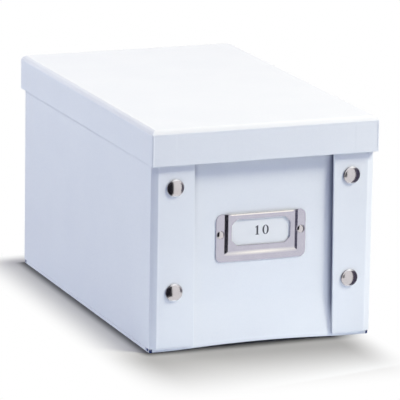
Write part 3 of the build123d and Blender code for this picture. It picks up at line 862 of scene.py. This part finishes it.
studio = {
    "floorHalf": 6000, "floorColour": (0.965, 0.935, 0.905), "bounceColour": (0.80, 0.865, 0.96),
    # where the floor's painted shadow and painted contact shadow lie, and their tones
    "shade": {"left": (-118, -78), "right": (50, 80), "front": (-240, -124), "back": (125, 150)},
    "frontTone": 0.40, "sideTone": 0.58, "toneTurn": (-150, -105),
    "outline": (78, 124.6), "contactLow": (9, 11), "contactHigh": (3, 4), "contactDepth": 0.74,
    "sky": (0.05, 0.12, 1.0), "skyStrength": 0.18, "aim": (0.0, -0.04, 0.06),
    "lamps": {
        "key": {"azimuth": 50, "height": 44, "distance": 1.7, "size": (0.55, 0.5), "power": 22.2,
                "colour": (1.0, 1.0, 0.835)},
        "right": {"azimuth": 60, "height": 8, "distance": 1.6, "size": (1.2, 1.2), "power": 2.7,
                  "colour": (0.86, 0.93, 1.0)},
        "left": {"azimuth": -113, "height": 44, "distance": 1.6, "size": (1.0, 1.0), "power": 13.6,
                 "colour": (0.95, 0.99, 0.93)},
        "back": {"azimuth": 172, "height": 14, "distance": 1.6, "size": (1.0, 1.0), "power": 6.0,
                 "colour": (1.0, 0.93, 0.78)},
        "top": {"azimuth": 0, "height": 87, "distance": 1.6, "size": (0.8, 0.8), "power": 2.8,
                "colour": (1.0, 0.83, 0.55), "inMetal": True},
        "foot": {"azimuth": 12, "height": 2.2, "distance": 0.09, "size": (0.16, 0.012), "power": 0.0175,
                 "colour": (0.74, 0.84, 0.90), "aim": (0.0, -0.125, 0.004)},
    },
    "flagHeight": 2400, "flagLift": 0.5,
    "flags": {  # plan of each card, and the strip of floor towards the box that it also hides
        "left": {"edge": (-98, -404), "back": (-117, -129), "foot": [(-66, -176)],
                 "colour": (0.018, 0.017, 0.024)},
        "right": {"edge": (150, -212), "back": (150, -90), "foot": [(66, -128)],
                  "colour": (0.085, 0.075, 0.115)},
    },
}


def floorMaterial(look):
    # white floor: before and beside the box the lit floor with the lamps' real shadows, darkened further by a
    # painted shadow and a painted contact shadow; plain white further out shade = where that floor shows:
    # product over the four sides of a smooth step from 1 at the box to 0 at its reach contact = painted
    # contact shadow: smooth step of the length of (how far past the outline) / (reach on that side)
    paint = Paint(bpy.data.materials.new("studio_floor"))
    place = paint.place()
    x, y = (paint.add("ShaderNodeSeparateXYZ", None, {0: place}, axis) for axis in ("X", "Y"))
    sides = {side: tuple(v * mm for v in span) for side, span in look["shade"].items()}
    shade = (paint.smooth(x, *sides["left"]) * (1 - paint.smooth(x, *sides["right"]))
             * paint.smooth(y, *sides["front"]) * (1 - paint.smooth(y, *sides["back"])))
    halfX, halfY = (v * mm for v in look["outline"])
    past = paint.vector("MAXIMUM", paint.vector("SUBTRACT", place, (halfX, halfY, 0)), (0, 0, 0))
    before = paint.vector("MAXIMUM", paint.vector("SUBTRACT", (-halfX, -halfY, 0), place), (0, 0, 0))
    reachHigh, reachLow = ((*(v * mm for v in look[key]), 1) for key in ("contactHigh", "contactLow"))
    spread = paint.vector("ADD", paint.vector("DIVIDE", past, reachHigh),
                          paint.vector("DIVIDE", before, reachLow))
    apart = paint.add("ShaderNodeVectorMath", {"operation": "LENGTH"}, {0: spread}, output="Value")
    contact = (1 - paint.smooth(apart, 0, 1)) * look["contactDepth"]
    beside = paint.smooth(y, *(v * mm for v in look["toneTurn"]))
    # painted shadow in the floor's colour for the camera: darker in front than beside the box, darkest at its
    # outline
    paintedShadowTone = (1 - contact) * (look["frontTone"] + beside * (look["sideTone"] - look["frontTone"]))
    camera = paint.add("ShaderNodeLightPath", output="Is Camera Ray")
    seenColour = paint.blend(paintedShadowTone, (0, 0, 0), look["floorColour"])
    colour = paint.blend(camera, look["bounceColour"], seenColour)
    lit = paint.add("ShaderNodeBsdfDiffuse", None, {"Color": colour})
    white = paint.add("ShaderNodeEmission", None, {"Color": (1, 1, 1), "Strength": 1.0})
    amount = (1 - shade * camera) * paint.seenRays()
    return paint.finish(paint.add("ShaderNodeMixShader", None, {0: amount, 1: lit, 2: white}))


def stagePiece(name, corners, faces, material):  # flat faces that aren't part of the box
    mesh = bpy.data.meshes.new(name)
    mesh.from_pydata((np.array(corners, float) * mm).tolist(), [], faces)
    mesh.materials.append(material)
    piece = bpy.data.objects.new(name, mesh)
    scene.collection.objects.link(piece)
    return piece


def makeFloor(look):
    half = look["floorHalf"]
    corners = [(-half, -half, 0), (half, -half, 0), (half, half, 0), (-half, half, 0)]
    stagePiece("studio_floor", corners, [(0, 1, 2, 3)], floorMaterial(look))


def makeWorld(look):
    # a faint tinted air that lights the box, seen as plain white
    scene.world = bpy.data.worlds.new("studio_air")
    paint = Paint(scene.world)
    air = paint.add("ShaderNodeBackground", None, {"Color": look["sky"], "Strength": look["skyStrength"]})
    white = paint.add("ShaderNodeBackground", None, {"Color": (1, 1, 1), "Strength": 1.0})
    paint.finish(paint.add("ShaderNodeMixShader", None, {0: paint.seenRays(), 1: air, 2: white}))


def makeFlags(look):
    # dark studio cards either side of the lens, seen only in polished metal
    for name, card in look["flags"].items():
        low, high = look["flagLift"], look["flagHeight"]
        edge, back, foot = card["edge"], card["back"], [(*spot, low) for spot in card["foot"]]
        corners = [(*edge, low), (*back, low), (*back, high), (*edge, high), *foot]
        paint = Paint(bpy.data.materials.new(f"{name}_flag_cloth"))
        cloth = paint.finish(paint.add("ShaderNodeEmission", None, {"Color": card["colour"]}))
        flag = stagePiece(f"{name}_flag", corners, [(0, 1, 2, 3), (1, 0, *range(4, len(corners)))], cloth)
        flag.visible_camera = flag.visible_diffuse = flag.visible_shadow = False
        flag.visible_transmission = flag.visible_volume_scatter = False


def makeLamps(look):
    # each lamp at its distance from the aim, azimuth round from the front and height above the floor
    for name, lamp in look["lamps"].items():
        light = bpy.data.lights.new(f"{name}_light", "AREA")
        light.shape, light.energy, light.color = "ELLIPSE", lamp["power"], lamp["colour"]
        light.size, light.size_y = lamp["size"]
        holder = bpy.data.objects.new(f"{name}_light", light)
        azimuth, height = math.radians(lamp["azimuth"]), math.radians(lamp["height"])
        flat = math.cos(height)
        way = Vector((math.sin(azimuth) * flat, -math.cos(azimuth) * flat, math.sin(height)))
        holder.location = Vector(lamp.get("aim", look["aim"])) + way * lamp["distance"]
        holder.rotation_euler = way.to_track_quat("Z", "Y").to_euler()
        holder.visible_camera, holder.visible_glossy = False, lamp.get("inMetal", False)
        scene.collection.objects.link(holder)


def makeCamera():
    # place, heading, tilt and roll found from the photograph's box edges
    shot = {"focal": 3794.72, "place": (-932.42, -2356.87, 676.63), "heading": 21.612, "tilt": 13.335,
            "roll": 0.932, "centre": (194.32, 190.09), "picture": 400, "sensor": 36.0, "clip": (0.05, 50)}
    camera = bpy.data.cameras.new("camera")
    camera.sensor_width = shot["sensor"]
    camera.lens = shot["focal"] * shot["sensor"] / shot["picture"]
    camera.shift_x = (shot["picture"] / 2 - shot["centre"][0]) / shot["picture"]
    camera.shift_y = (shot["centre"][1] - shot["picture"] / 2) / shot["picture"]
    camera.clip_start, camera.clip_end = shot["clip"]
    heading, tilt, roll = (math.radians(shot[k]) for k in ("heading", "tilt", "roll"))
    flat = math.cos(tilt)
    forward = Vector((math.sin(heading) * flat, math.cos(heading) * flat, -math.sin(tilt)))
    flatRight = Vector((math.cos(heading), -math.sin(heading), 0))
    flatUp = flatRight.cross(forward)
    right = flatRight * math.cos(roll) + flatUp * math.sin(roll)
    up = flatUp * math.cos(roll) - flatRight * math.sin(roll)
    holder = bpy.data.objects.new("camera", camera)
    turn = Matrix((right, up, -forward)).transposed().to_4x4()
    holder.matrix_world = Matrix.Translation(Vector(shot["place"]) * mm) @ turn
    scene.collection.objects.link(holder)
    scene.camera = holder


makeFloor(studio)
makeWorld(studio)
makeLamps(studio)
makeFlags(studio)
makeCamera()
scene.view_settings.view_transform = "Standard"
